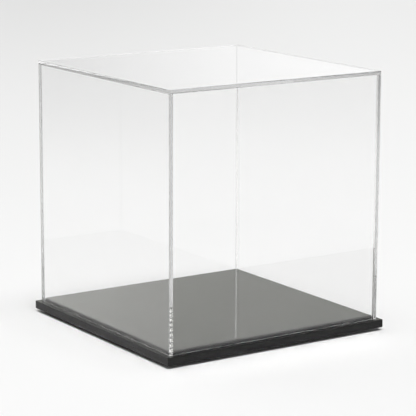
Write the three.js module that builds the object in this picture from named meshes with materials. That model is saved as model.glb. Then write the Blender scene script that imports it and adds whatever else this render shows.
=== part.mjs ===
// Acrylic display cube: a lift-off cover of five clear sheets, standing on the ledge of a
// two-layer black plinth with four bumper feet. Millimetres, +Z up, the front is -Y.
// The origin is on the table, under the middle of the plinth.
// Every dimension is a multiple of 1/8 mm, so neighbours meet on exactly the same plane.
import * as THREE from "three";

// The clear cover
const CUBE_SIDE = 305; // outside, wall face to wall face
const WALL_HEIGHT = 306.25; // each wall sheet, before the top sheet goes on
const SHEET = 4.5; // thickness of all five clear sheets
const CEMENT = 0.25; // thickness of every bond line

// The black plinth
const SLAB_SIDE = 317; // stands out as a ledge all round the cover
const SLAB_THICKNESS = 10;
const DECK_THICKNESS = 4.5; // the raised deck that fits inside the walls
const DECK_CLEARANCE = 0.5; // from the deck's edge to each wall
const FILM_INSET = 2; // the bonding film stops short of the deck's edge
const EASED_EDGE = 0.375; // chamfer on the edges of the black sheets

// The bumper feet
const FOOT_HEIGHT = 3.25;
const FOOT_RADIUS = 6.5; // at the top, where it meets its pad
const FOOT_TAPER = THREE.MathUtils.degToRad(18); // the flank leans in towards the sole
const FOOT_ROUND = 0.75; // rounding between the flank and the sole
const PAD_THICKNESS = 0.25; // the self-adhesive backing
const PAD_RADIUS = 6.25;
const FOOT_INSET = 24; // from the slab's edges to the middle of a foot

// Levels, from the table up
const SLAB_BOTTOM = FOOT_HEIGHT + PAD_THICKNESS;
const SLAB_TOP = SLAB_BOTTOM + SLAB_THICKNESS;
const DECK_BOTTOM = SLAB_TOP + CEMENT;
const DECK_TOP = DECK_BOTTOM + DECK_THICKNESS;
const WALL_TOP = SLAB_TOP + WALL_HEIGHT;
const LID_BOTTOM = WALL_TOP + CEMENT;
const LID_TOP = LID_BOTTOM + SHEET;

// Distances from the middle, the same along X and Y
const OUTER = CUBE_SIDE / 2;
const INNER = OUTER - SHEET;
const BETWEEN = INNER - CEMENT; // half the length of the front and back sheets
const DECK_SIDE = 2 * (INNER - DECK_CLEARANCE);

const clearAcrylic = { color: 0xeef2f1, roughness: 0.03, metalness: 0, transparent: true, opacity: 0.25 };
const clearCement = { color: 0xdfe4e2, roughness: 0.1, metalness: 0, transparent: true, opacity: 0.4 };
const blackSlab = { color: 0x1d1d1d, roughness: 0.35, metalness: 0 };
const blackDeck = { color: 0x141412, roughness: 0.08, metalness: 0 };
const bondingFilm = { color: 0x0d0d0d, roughness: 0.6, metalness: 0 };
const blackRubber = { color: 0x171717, roughness: 0.8, metalness: 0 };
const padAdhesive = { color: 0xb9b6ad, roughness: 0.5, metalness: 0 };

function piece(name, geometry, look) {
  const mesh = new THREE.Mesh(geometry, new THREE.MeshStandardMaterial(look));
  mesh.name = name;
  return mesh;
}

// A rectangular sheet between two corners, placed by its middle.
function sheet(name, look, low, high) {
  const size = high.map((value, i) => value - low[i]);
  const mesh = piece(name, new THREE.BoxGeometry(...size), look);
  mesh.position.set(...high.map((value, i) => (value + low[i]) / 2));
  return mesh;
}

// A square black sheet whose four top and four bottom edges are eased by a small chamfer.
function easedSquare(name, look, side, bottom, thickness) {
  const half = side / 2;
  const flat = half - EASED_EDGE;
  const outline = new THREE.Shape();
  outline.moveTo(-flat, -flat);
  outline.lineTo(flat, -flat);
  outline.lineTo(flat, flat);
  outline.lineTo(-flat, flat);
  outline.closePath();
  const geometry = new THREE.ExtrudeGeometry(outline, {
    depth: thickness - 2 * EASED_EDGE,
    bevelEnabled: true,
    bevelThickness: EASED_EDGE,
    bevelSize: EASED_EDGE,
    bevelSegments: 1,
  });
  const mesh = piece(name, geometry, look);
  mesh.position.z = bottom + EASED_EDGE;
  return mesh;
}

// Two wall sheets run the whole depth, and the front and back sheets fit between them.
function coverWalls() {
  const walls = new THREE.Group();
  for (const [name, side] of [["left", -1], ["right", 1]]) {
    const faces = [side * OUTER, side * INNER].sort((a, b) => a - b);
    walls.add(sheet(`cover_${name}_wall`, clearAcrylic,
      [faces[0], -OUTER, SLAB_TOP], [faces[1], OUTER, WALL_TOP]));
  }
  for (const [name, side] of [["front", -1], ["back", 1]]) {
    const faces = [side * OUTER, side * INNER].sort((a, b) => a - b);
    walls.add(sheet(`cover_${name}_wall`, clearAcrylic,
      [-BETWEEN, faces[0], SLAB_TOP], [BETWEEN, faces[1], WALL_TOP]));
  }
  return walls;
}

// A cured line of cement in each upright corner, between a side wall's inner face and a wall's end.
function cornerBonds() {
  const bonds = new THREE.Group();
  for (const [across, x] of [["left", -1], ["right", 1]]) {
    for (const [along, y] of [["front", -1], ["back", 1]]) {
      const xs = [x * INNER, x * BETWEEN].sort((a, b) => a - b);
      const ys = [y * OUTER, y * INNER].sort((a, b) => a - b);
      bonds.add(sheet(`${along}_${across}_corner_bond`, clearCement,
        [xs[0], ys[0], SLAB_TOP], [xs[1], ys[1], WALL_TOP]));
    }
  }
  return bonds;
}

// The top sheet lies on all four walls, flush with their outer faces, on four lines of cement.
function coverTop() {
  const top = new THREE.Group();
  top.add(sheet("cover_top_sheet", clearAcrylic,
    [-OUTER, -OUTER, LID_BOTTOM], [OUTER, OUTER, LID_TOP]));
  for (const [name, side] of [["left", -1], ["right", 1]]) {
    const xs = [side * OUTER, side * INNER].sort((a, b) => a - b);
    top.add(sheet(`${name}_top_bond`, clearCement,
      [xs[0], -OUTER, WALL_TOP], [xs[1], OUTER, LID_BOTTOM]));
  }
  for (const [name, side] of [["front", -1], ["back", 1]]) {
    const ys = [side * OUTER, side * INNER].sort((a, b) => a - b);
    top.add(sheet(`${name}_top_bond`, clearCement,
      [-INNER, ys[0], WALL_TOP], [INNER, ys[1], LID_BOTTOM]));
  }
  return top;
}

// The plinth: a slab that carries the cover on its ledge, and a glossy deck bonded on top of it.
function plinth() {
  const base = new THREE.Group();
  const filmReach = DECK_SIDE / 2 - FILM_INSET;
  base.add(easedSquare("base_slab", blackSlab, SLAB_SIDE, SLAB_BOTTOM, SLAB_THICKNESS));
  base.add(sheet("deck_bonding_film", bondingFilm,
    [-filmReach, -filmReach, SLAB_TOP], [filmReach, filmReach, DECK_BOTTOM]));
  base.add(easedSquare("base_deck", blackDeck, DECK_SIDE, DECK_BOTTOM, DECK_THICKNESS));
  return base;
}

// A moulded bumper: a flat sole, a round that runs smoothly into the tapered flank, and a flat
// top, as a half section about the Y axis.
function footProfile() {
  const steps = 6;
  const flankRise = FOOT_HEIGHT - FOOT_ROUND * (1 - Math.sin(FOOT_TAPER));
  const roundMiddle = FOOT_RADIUS - flankRise * Math.tan(FOOT_TAPER) - FOOT_ROUND * Math.cos(FOOT_TAPER);
  const points = [new THREE.Vector2(0, 0)];
  for (let i = 0; i <= steps; i += 1) {
    const turn = (i / steps) * (Math.PI / 2 - FOOT_TAPER) - Math.PI / 2;
    points.push(new THREE.Vector2(
      roundMiddle + FOOT_ROUND * Math.cos(turn),
      FOOT_ROUND * (1 + Math.sin(turn)),
    ));
  }
  points.push(new THREE.Vector2(FOOT_RADIUS, FOOT_HEIGHT));
  points.push(new THREE.Vector2(0, FOOT_HEIGHT));
  return points;
}

function feet() {
  const group = new THREE.Group();
  const reach = SLAB_SIDE / 2 - FOOT_INSET;
  const sides = 32;
  for (const [across, x] of [["left", -1], ["right", 1]]) {
    for (const [along, y] of [["front", -1], ["back", 1]]) {
      const foot = piece(`${along}_${across}_foot`, new THREE.LatheGeometry(footProfile(), sides), blackRubber);
      foot.rotation.x = Math.PI / 2;
      foot.position.set(x * reach, y * reach, 0);
      const pad = piece(`${along}_${across}_foot_pad`,
        new THREE.CylinderGeometry(PAD_RADIUS, PAD_RADIUS, PAD_THICKNESS, sides), padAdhesive);
      pad.rotation.x = Math.PI / 2;
      pad.position.set(x * reach, y * reach, FOOT_HEIGHT + PAD_THICKNESS / 2);
      group.add(foot, pad);
    }
  }
  return group;
}

const displayCube = new THREE.Group();
displayCube.add(feet(), plinth(), coverWalls(), cornerBonds(), coverTop());

export default displayCube;
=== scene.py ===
import math

import bmesh
import bpy
from mathutils import Matrix, Vector


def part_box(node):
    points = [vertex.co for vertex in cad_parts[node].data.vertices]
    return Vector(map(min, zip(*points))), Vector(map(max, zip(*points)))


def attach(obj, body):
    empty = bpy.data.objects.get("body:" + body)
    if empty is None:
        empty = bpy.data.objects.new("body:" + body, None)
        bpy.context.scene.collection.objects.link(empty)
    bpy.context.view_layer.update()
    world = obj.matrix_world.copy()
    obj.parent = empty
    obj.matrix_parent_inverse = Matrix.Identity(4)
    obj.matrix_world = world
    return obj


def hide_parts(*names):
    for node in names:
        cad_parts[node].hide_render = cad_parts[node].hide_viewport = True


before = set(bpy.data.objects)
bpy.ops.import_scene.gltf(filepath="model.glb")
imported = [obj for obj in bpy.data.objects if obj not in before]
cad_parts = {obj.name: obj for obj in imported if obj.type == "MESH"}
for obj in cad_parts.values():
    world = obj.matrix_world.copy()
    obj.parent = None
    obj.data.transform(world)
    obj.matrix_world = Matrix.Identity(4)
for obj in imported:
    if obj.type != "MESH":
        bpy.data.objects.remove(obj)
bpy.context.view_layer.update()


# ---- Base slab ---------------------------------------------------------------------------------
# The lower sheet of the plinth: 10 mm black cast acrylic, glossy on its faces. Its four sides are
# saw-cut and sanded to a satin, and the sharp edges are eased by hand with a scraper.

class Value:
    """A number that varies over a surface. Sums, differences and products of it add Math nodes."""

    def __init__(self, finish, socket):
        self.finish = finish
        self.socket = socket

    def maths(self, operation, first, second):
        return self.finish.add("ShaderNodeMath", {"operation": operation}, {0: first, 1: second})

    def __add__(self, other):
        return self.maths("ADD", self, other)

    __radd__ = __add__

    def __sub__(self, other):
        return self.maths("SUBTRACT", self, other)

    def __rsub__(self, other):
        return self.maths("SUBTRACT", other, self)

    def __mul__(self, other):
        return self.maths("MULTIPLY", self, other)

    __rmul__ = __mul__


class Finish:
    """The nodes of one material, or of the studio's light."""

    def __init__(self, tree):
        self.tree = tree
        tree.nodes.clear()

    def add(self, kind, settings=None, inputs=None, output=0):
        """Adds a node: first its settings, then a number, a colour or a link for each input."""
        node = self.tree.nodes.new(kind)
        for name, setting in (settings or {}).items():
            setattr(node, name, setting)
        for name, value in (inputs or {}).items():
            socket = node.inputs[name]
            if isinstance(value, Value):
                self.tree.links.new(value.socket, socket)
            elif socket.type == "RGBA":
                socket.default_value = (*value, 1.0)
            else:
                socket.default_value = value
        return Value(self, node.outputs[output]) if node.outputs else None

    def noise(self, per_metre, detail=2.0, turn=0.0):
        """Noise with so many cycles to the metre along X, Y and Z, turned about Z."""
        where = self.add("ShaderNodeTexCoord", output="Object")
        placed = self.add("ShaderNodeMapping", {"vector_type": "TEXTURE"}, {
            "Vector": where, "Rotation": (0.0, 0.0, turn), "Scale": tuple(1.0 / n for n in per_metre)})
        return self.add("ShaderNodeTexNoise", {}, {"Vector": placed, "Scale": 1.0, "Detail": detail})

    def span(self, value, low, high, to_low=0.0, to_high=1.0):
        """Maps low..high to to_low..to_high with soft ends, and holds it there."""
        return self.add("ShaderNodeMapRange", {"interpolation_type": "SMOOTHSTEP"}, {
            "Value": value, "From Min": low, "From Max": high, "To Min": to_low, "To Max": to_high})

    def blend(self, share, first, second):
        """A colour that runs from first to second as share goes from 0 to 1."""
        return self.add("ShaderNodeMix", {"data_type": "RGBA"},
                        {0: share, 6: first, 7: second}, output=2)

    def across(self, vector, way):
        """How far a vector reaches along a direction."""
        return self.add("ShaderNodeVectorMath", {"operation": "DOT_PRODUCT"},
                        {0: vector, 1: way}, output="Value")

    def attribute(self, name):
        return self.add("ShaderNodeAttribute", {"attribute_name": name}, output="Fac")

    def bump(self, height, depth):
        return self.add("ShaderNodeBump", {}, {"Height": height, "Distance": depth})


def material(name, describe):
    """A material with one Principled shader, whose inputs are what describe(finish) returns."""
    made = bpy.data.materials.new(name)
    made.use_nodes = True
    finish = Finish(made.node_tree)
    shader = finish.add("ShaderNodeBsdfPrincipled", {}, describe(finish))
    finish.add("ShaderNodeOutputMaterial", {}, {"Surface": shader})
    return made


def finished(name, shape, look, body, node):
    """Turns a bmesh into the piece that stands for a CAD node, in its place and on its body."""
    mesh = bpy.data.meshes.new(name)
    shape.to_mesh(mesh)
    shape.free()
    mesh.materials.append(look)
    piece = bpy.data.objects.new(name, mesh)
    bpy.context.scene.collection.objects.link(piece)
    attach(piece, body)
    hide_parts(node)
    return piece


def eased_sheet(low, high, ease, steps=3, ripple=0.0):
    """A flat sheet between two corners, its edges eased to a small round. A face across the sheet's
    thickness is marked as a cut edge, for the saw and polish marks in the materials, and its
    underside is marked with how far the cutter rippled it, from 0 to 1."""
    shape = bmesh.new()
    size = high - low
    place = Matrix.Translation((low + high) / 2) @ Matrix.Diagonal((*size, 1.0))
    bmesh.ops.create_cube(shape, size=1.0, matrix=place)
    bmesh.ops.bevel(shape, geom=shape.edges[:], offset=ease, offset_type="OFFSET", affect="EDGES",
                    segments=steps, profile=0.5, material=-1)
    through = min(range(3), key=lambda axis: size[axis])
    cut_edge = shape.faces.layers.float.new("cut_edge")
    underside = shape.faces.layers.float.new("underside")
    rippled = shape.faces.layers.float.new("rippled")
    for face in shape.faces:
        face[cut_edge] = 0.0 if abs(face.normal[through]) > 0.9 else 1.0
        face[underside] = 1.0 if face.normal.z < -0.9 else 0.0
        face[rippled] = ripple * face[underside]
    return shape


def slab_acrylic(finish):
    cut = finish.attribute("cut_edge")
    sanding = finish.noise((18.0, 18.0, 2600.0), detail=3.0)
    haze = finish.noise((9.0, 9.0, 9.0), detail=4.0)
    dust = finish.span(finish.noise((900.0, 900.0, 900.0), detail=1.0), 0.74, 0.80)
    return {
        "Base Color": finish.blend(cut * finish.span(sanding, 0.3, 0.7, 0.3, 0.6) + 0.15 * dust,
                                   (0.0032, 0.0032, 0.0031), (0.009, 0.0089, 0.0086)),
        "Roughness": 0.045 + 0.03 * haze + cut * finish.span(sanding, 0.3, 0.7, 0.2, 0.3),
        "IOR": 1.49,
        "Specular IOR Level": 0.28,
        "Normal": finish.bump(sanding * cut, 0.000012),
    }


slab_low, slab_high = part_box("base_slab")
SLAB_EASE = 0.0005
finished("plinth_slab", eased_sheet(slab_low, slab_high, SLAB_EASE),
         material("slab_acrylic", slab_acrylic), "base", "base_slab")


# ---- Deck and its bonding film -----------------------------------------------------------------
# The raised deck: a 4.5 mm black acrylic sheet with a mirror gloss, fixed to the middle of the slab
# by a thin black adhesive film, and sized to slip inside the cover's walls.

def deck_acrylic(finish):
    cut = finish.attribute("cut_edge")
    polish = finish.noise((25.0, 25.0, 1800.0))
    smudge = finish.span(finish.noise((14.0, 9.0, 12.0), detail=5.0), 0.45, 0.8)
    hairline = finish.span(finish.noise((26.0, 2400.0, 30.0), turn=0.6), 0.70, 0.76)
    crossing = finish.span(finish.noise((2100.0, 31.0, 30.0), turn=0.35), 0.71, 0.77)
    return {
        "Base Color": finish.blend(0.4 * hairline + 0.3 * crossing, (0.0046, 0.0046, 0.0042),
                                   (0.012, 0.012, 0.0115)),
        "Roughness": 0.02 + 0.03 * smudge + 0.05 * hairline + 0.04 * crossing + 0.1 * cut,
        "IOR": 1.49,
        "Specular Tint": (1.0, 1.0, 0.95),
        "Normal": finish.bump(polish * cut, 0.000004),
    }


def black_film(finish):
    wetting = finish.noise((160.0, 160.0, 160.0), detail=4.0)
    return {
        "Base Color": finish.blend(finish.span(wetting, 0.35, 0.65), (0.006, 0.006, 0.006),
                                   (0.012, 0.012, 0.012)),
        "Roughness": finish.span(wetting, 0.35, 0.65, 0.45, 0.7),
        "Normal": finish.bump(wetting, 0.00002),
    }


deck_low, deck_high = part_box("base_deck")
DECK_EASE = 0.0003
finished("plinth_deck", eased_sheet(deck_low, deck_high, DECK_EASE),
         material("deck_acrylic", deck_acrylic), "base", "base_deck")
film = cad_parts["deck_bonding_film"]
film.data.materials.clear()
film.data.materials.append(material("bonding_film", black_film))


# ---- Bumper feet -------------------------------------------------------------------------------
# Four black rubber bumpers, moulded with a tapered flank and a soft round at the sole. Each sticks
# to the slab's underside by the thin foam disc of its own adhesive backing.

def bumper_rubber(finish):
    grain = finish.noise((2200.0, 2200.0, 2200.0), detail=3.0)
    bloom = finish.noise((220.0, 220.0, 220.0), detail=2.0)
    return {
        "Base Color": finish.blend(finish.span(bloom, 0.3, 0.7), (0.011, 0.011, 0.011),
                                   (0.022, 0.0215, 0.021)),
        "Roughness": finish.span(grain, 0.3, 0.7, 0.68, 0.9),
        "Normal": finish.bump(grain, 0.00003),
    }


def backing_foam(finish):
    cells = finish.add("ShaderNodeTexVoronoi", {}, {
        "Vector": finish.add("ShaderNodeTexCoord", output="Object"), "Scale": 3200.0})
    return {
        "Base Color": finish.blend(finish.span(cells, 0.1, 0.6), (0.42, 0.41, 0.37),
                                   (0.6, 0.59, 0.55)),
        "Roughness": finish.span(cells, 0.1, 0.6, 0.5, 0.75),
        "Normal": finish.bump(cells, 0.00002),
    }


def turned(profile, middle, steps):
    """A solid turned about an upright axis from (radius, height) points, top to bottom."""
    shape = bmesh.new()
    points = [shape.verts.new((middle.x + radius, middle.y, height)) for radius, height in profile]
    line = [shape.edges.new(pair) for pair in zip(points, points[1:])]
    bmesh.ops.spin(shape, geom=points + line, cent=(middle.x, middle.y, 0.0), axis=(0.0, 0.0, 1.0),
                   angle=math.tau, steps=steps, use_merge=True)
    bmesh.ops.remove_doubles(shape, verts=shape.verts[:], dist=1e-6)
    bmesh.ops.recalc_face_normals(shape, faces=shape.faces[:])
    return shape


def smoothed(piece, angle):
    """Shades a piece smooth, apart from edges sharper than the angle."""
    piece.data.shade_smooth()
    piece.data.set_sharp_from_angle(angle=math.radians(angle))


FOOT_TAPER = math.radians(18.0)
SOLE_ROUND = 0.00075
SOLE_STEPS = 8
SHARP_RIM_DEGREES = 40.0
rubber_look = material("bumper_rubber", bumper_rubber)
foam_look = material("backing_foam", backing_foam)
for along in ("front", "back"):
    for across in ("left", "right"):
        foot_name = f"{along}_{across}_foot"
        low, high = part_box(foot_name)
        middle = (low + high) / 2
        radius = (high.x - low.x) / 2
        rise = high.z - SOLE_ROUND * (1 - math.sin(FOOT_TAPER))
        round_middle = radius - rise * math.tan(FOOT_TAPER) - SOLE_ROUND * math.cos(FOOT_TAPER)
        turns = [-FOOT_TAPER - i / SOLE_STEPS * (math.pi / 2 - FOOT_TAPER) for i in range(SOLE_STEPS + 1)]
        sole = [(round_middle + SOLE_ROUND * math.cos(turn), SOLE_ROUND * (1 + math.sin(turn)))
                for turn in turns]
        foot = finished(f"{along}_{across}_bumper",
                        turned([(0.0, high.z), (radius, high.z), *sole, (0.0, 0.0)], middle, 64),
                        rubber_look, "base", foot_name)
        smoothed(foot, SHARP_RIM_DEGREES)
        low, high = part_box(f"{foot_name}_pad")
        radius = (high.x - low.x) / 2
        pad = finished(f"{along}_{across}_bumper_backing",
                       turned([(0.0, high.z), (radius, high.z), (radius, low.z), (0.0, low.z)], middle, 48),
                       foam_look, "base", f"{foot_name}_pad")
        smoothed(pad, SHARP_RIM_DEGREES)


# ---- Cover walls and top sheet -----------------------------------------------------------------
# Five sheets of clear 4.5 mm cast acrylic, flame-polished except on the bottom edges, which are as
# sawn or rippled by the cutter. The side walls run the whole depth, the front and back walls fit
# between them, and the top sheet lies on all four.

RIPPLE_RADIANS_PER_METRE = 192.0


def clear_acrylic(finish):
    cut = finish.attribute("cut_edge")
    polish = finish.noise((12.0, 12.0, 12.0), detail=2.0)
    handling = finish.span(finish.noise((30.0, 30.0, 22.0), detail=4.0), 0.62, 0.85)
    where = finish.add("ShaderNodeTexCoord", output="Object")
    sawn = cut * finish.attribute("underside")
    ripple = finish.attribute("rippled")
    chatter = finish.add("ShaderNodeMath", {"operation": "SINE"},
                         {0: finish.across(where, (0.0, RIPPLE_RADIANS_PER_METRE, 0.0))})
    sawn_haze = 0.6 - 0.55 * ripple * finish.span(chatter, -0.6, 0.3)
    return {
        "Base Color": finish.blend(handling, (1.0, 1.0, 1.0), (0.992, 0.992, 0.992)),
        "Roughness": 0.004 * handling + 0.006 * cut + sawn * sawn_haze,
        "Metallic": sawn * finish.span(ripple, 0.0, 0.5, 0.8, 0.0),
        "IOR": 1.49,
        "Transmission Weight": 1.0,
        "Normal": finish.bump(polish * cut, 0.000001),
    }


CONTACT = Vector((0.0, 0.0, 0.00005))
CLEAR_EASE = 0.00025
WALL_RIPPLE = {"left": 1.0, "right": 0.5, "front": 0.0, "back": 0.5}
acrylic_look = material("clear_acrylic", clear_acrylic)
acrylic_tint = acrylic_look.node_tree.nodes.new("ShaderNodeVolumeAbsorption")
acrylic_tint.inputs["Color"].default_value = (0.90, 0.90, 0.90, 1.0)
acrylic_tint.inputs["Density"].default_value = 12.5
acrylic_look.node_tree.links.new(
    acrylic_tint.outputs[0], acrylic_look.node_tree.nodes["Material Output"].inputs["Volume"])
for side, ripple in WALL_RIPPLE.items():
    low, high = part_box(f"cover_{side}_wall")
    finished(f"{side}_clear_wall", eased_sheet(low + CONTACT, high, CLEAR_EASE, ripple=ripple),
             acrylic_look, "cover", f"cover_{side}_wall")
low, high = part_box("cover_top_sheet")
finished("clear_top_sheet", eased_sheet(low, high, CLEAR_EASE), acrylic_look,
         "cover", "cover_top_sheet")


# ---- Cement lines ------------------------------------------------------------------------------
# The sheets are joined edge to face with clear acrylic cement, run into each joint with a needle
# and cured. It stays as a thin line that stops just short of the outside.

def clear_cement(finish):
    flow = finish.noise((900.0, 900.0, 120.0), detail=3.0)
    bubble = finish.span(finish.noise((1500.0, 1500.0, 1500.0), detail=0.0), 0.72, 0.78)
    return {
        "Base Color": finish.blend(bubble, (0.99, 0.995, 0.99), (0.9, 0.9, 0.9)),
        "Roughness": finish.span(flow, 0.3, 0.7, 0.01, 0.06) + 0.2 * bubble,
        "IOR": 1.48,
        "Transmission Weight": 1.0,
        "Normal": finish.bump(flow, 0.000003),
    }


SHY = Vector((0.00003, 0.00003, 0.00003))
CEMENT_EASE = 0.00004
cement_look = material("acrylic_cement", clear_cement)
bond_nodes = [f"{along}_{across}_corner_bond"
              for along in ("front", "back") for across in ("left", "right")]
bond_nodes += [f"{side}_top_bond" for side in ("front", "back", "left", "right")]
for node in bond_nodes:
    low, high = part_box(node)
    finished(node.replace("bond", "cement"), eased_sheet(low + SHY, high - SHY, CEMENT_EASE, steps=2),
             cement_look, "cover", node)


# ---- Studio ------------------------------------------------------------------------------------
# A plain pale table top that runs out of sight, in a dim white room with a brightly lit back wall
# and a soft box straight overhead. The table top's colour holds painted shade: darker away from the
# cube, more so on the left, and darker to both sides. Bright panels stand low at the front right and the
# back left, and one hangs high at the back.

FLOOR_RADIUS = 14.0
BACK_WALL_WAY = (0.556, 0.831, 0.0)
RIGHT_WALL_WAY = (0.831, -0.556, 0.0)
PANEL_RIGHT_WAY = (0.556, -0.831, 0.0)
PANEL_LEFT_WAY = (-0.556, 0.831, 0.0)
PANEL_BACK_WAY = (-0.25, 0.77, 0.587)
GLOW_WAY = (0.690, 0.719, 0.078)
UPWARDS = (0.0, 0.0, 1.0)


def pale_laminate_painted_shade(finish):
    where = finish.add("ShaderNodeTexCoord", output="Object")
    along = finish.across(where, BACK_WALL_WAY)
    aside = finish.across(where, RIGHT_WALL_WAY)
    # Painted shade: the floor colour darkens away from the cube along the view's way, more steeply on the
    # left, and darkens towards both sides, standing in for light falling off.
    painted_falloff = finish.span(along, -1.5, 5.0)
    left = finish.span(aside, 0.5, -0.6)
    painted_side_shade = 0.40 * finish.span(aside, -0.8, -1.9) + 0.25 * finish.span(aside, 0.8, 1.9)
    painted_shade = painted_falloff * (0.125 + 0.10 * left) + painted_side_shade
    return {
        "Base Color": finish.blend(painted_shade, (0.87, 0.87, 0.87), (0.0, 0.0, 0.0)),
        "Roughness": 0.8,
        "Specular IOR Level": 0.1,
    }


circle = bmesh.new()
bmesh.ops.create_circle(circle, cap_ends=True, segments=128, radius=FLOOR_RADIUS)
floor_mesh = bpy.data.meshes.new("table_top")
circle.to_mesh(floor_mesh)
circle.free()
floor = bpy.data.objects.new("table_top", floor_mesh)
bpy.context.scene.collection.objects.link(floor)
floor_mesh.materials.append(material("pale_laminate_painted_shade", pale_laminate_painted_shade))

world = bpy.data.worlds.new("studio_light")
bpy.context.scene.world = world
world.use_nodes = True
room = Finish(world.node_tree)
direction = room.add("ShaderNodeTexCoord", output="Generated")
forward = room.across(direction, BACK_WALL_WAY)
sideways = room.across(direction, RIGHT_WALL_WAY)
height = room.across(direction, UPWARDS)
back_wall = room.span(forward, 0.2, 0.85) * room.span(height, 0.60, 0.30)
back_glow = room.span(room.across(direction, GLOW_WAY), 0.962, 0.9995) * room.span(height, 0.235, 0.165)
left_wash = room.span(sideways, 0.03, -0.14) * room.span(height, 0.12, 0.25) * back_wall
low_right = room.span(room.across(direction, PANEL_RIGHT_WAY), 0.6, 0.9) * room.span(height, 0.34, 0.25)
low_left = room.span(room.across(direction, PANEL_LEFT_WAY), 0.6, 0.9) * room.span(height, 0.40, 0.30)
high_back = room.span(room.across(direction, PANEL_BACK_WAY), 0.8, 0.95)
horizon = room.span(height, 0.22, 0.15)
strength = (0.07 + back_wall * (0.56 + 0.09 * horizon) + 0.36 * back_glow + 0.36 * left_wash
            + 1.6 * low_right + 0.50 * low_left + 1.2 * high_back)
glow = room.add("ShaderNodeBackground", {}, {
    "Color": room.blend(room.span(height, 0.15, 0.22) * back_wall, (1.0, 1.0, 1.0), (0.985, 1.0, 0.92)),
    "Strength": strength})
room.add("ShaderNodeOutputWorld", {}, {"Surface": glow})

overhead = bpy.data.lights.new("overhead_softbox", "SUN")
overhead.energy = 2.53
overhead.angle = math.radians(30.0)
overhead_object = bpy.data.objects.new("overhead_softbox", overhead)
overhead_object.rotation_euler = Vector((0.0, 0.1, -1.0)).to_track_quat("-Z", "Y").to_euler()
bpy.context.scene.collection.objects.link(overhead_object)


# ---- Camera ------------------------------------------------------------------------------------
# A long lens a little above the cube, looking at its front left corner. It aims a little to the side
# of a point on the cube's axis: CAMERA_AIM is how far it aims to the right and up, as the lens sees it.

CAMERA_AZIMUTH = math.radians(-33.77)
CAMERA_ELEVATION = math.radians(11.78)
CAMERA_ROLL = math.radians(0.1975)
CAMERA_DISTANCE = 2.4113
CAMERA_AIM = (0.00189, -0.02195)
CAMERA_LENS = 166.95
AIM_HEIGHT = 0.1675
LIGHT_BOUNCES = 96
axis_point = Vector((0.0, 0.0, AIM_HEIGHT))
back = Vector((math.sin(CAMERA_AZIMUTH) * math.cos(CAMERA_ELEVATION),
               -math.cos(CAMERA_AZIMUTH) * math.cos(CAMERA_ELEVATION), math.sin(CAMERA_ELEVATION)))
level = (-back).cross(Vector(UPWARDS)).normalized()
tilt = Matrix.Rotation(CAMERA_ROLL, 3, back)
right = tilt @ level
up = right.cross(-back)
lens = bpy.data.cameras.new("camera")
lens.sensor_width = 36.0
lens.lens = CAMERA_LENS
lens.clip_start = 0.05
lens.clip_end = 60.0
camera = bpy.data.objects.new("camera", lens)
camera.location = axis_point + CAMERA_AIM[0] * right + CAMERA_AIM[1] * up + CAMERA_DISTANCE * back
camera.rotation_euler = Matrix((right, up, back)).transposed().to_euler()
bpy.context.scene.collection.objects.link(camera)
bpy.context.scene.camera = camera

view = bpy.context.scene.view_settings
view.view_transform = "Standard"
view.look = "None"
cycles = bpy.context.scene.cycles
cycles.max_bounces = LIGHT_BOUNCES
cycles.glossy_bounces = LIGHT_BOUNCES
cycles.transmission_bounces = LIGHT_BOUNCES
cycles.blur_glossy = 0.0
cycles.use_denoising = True
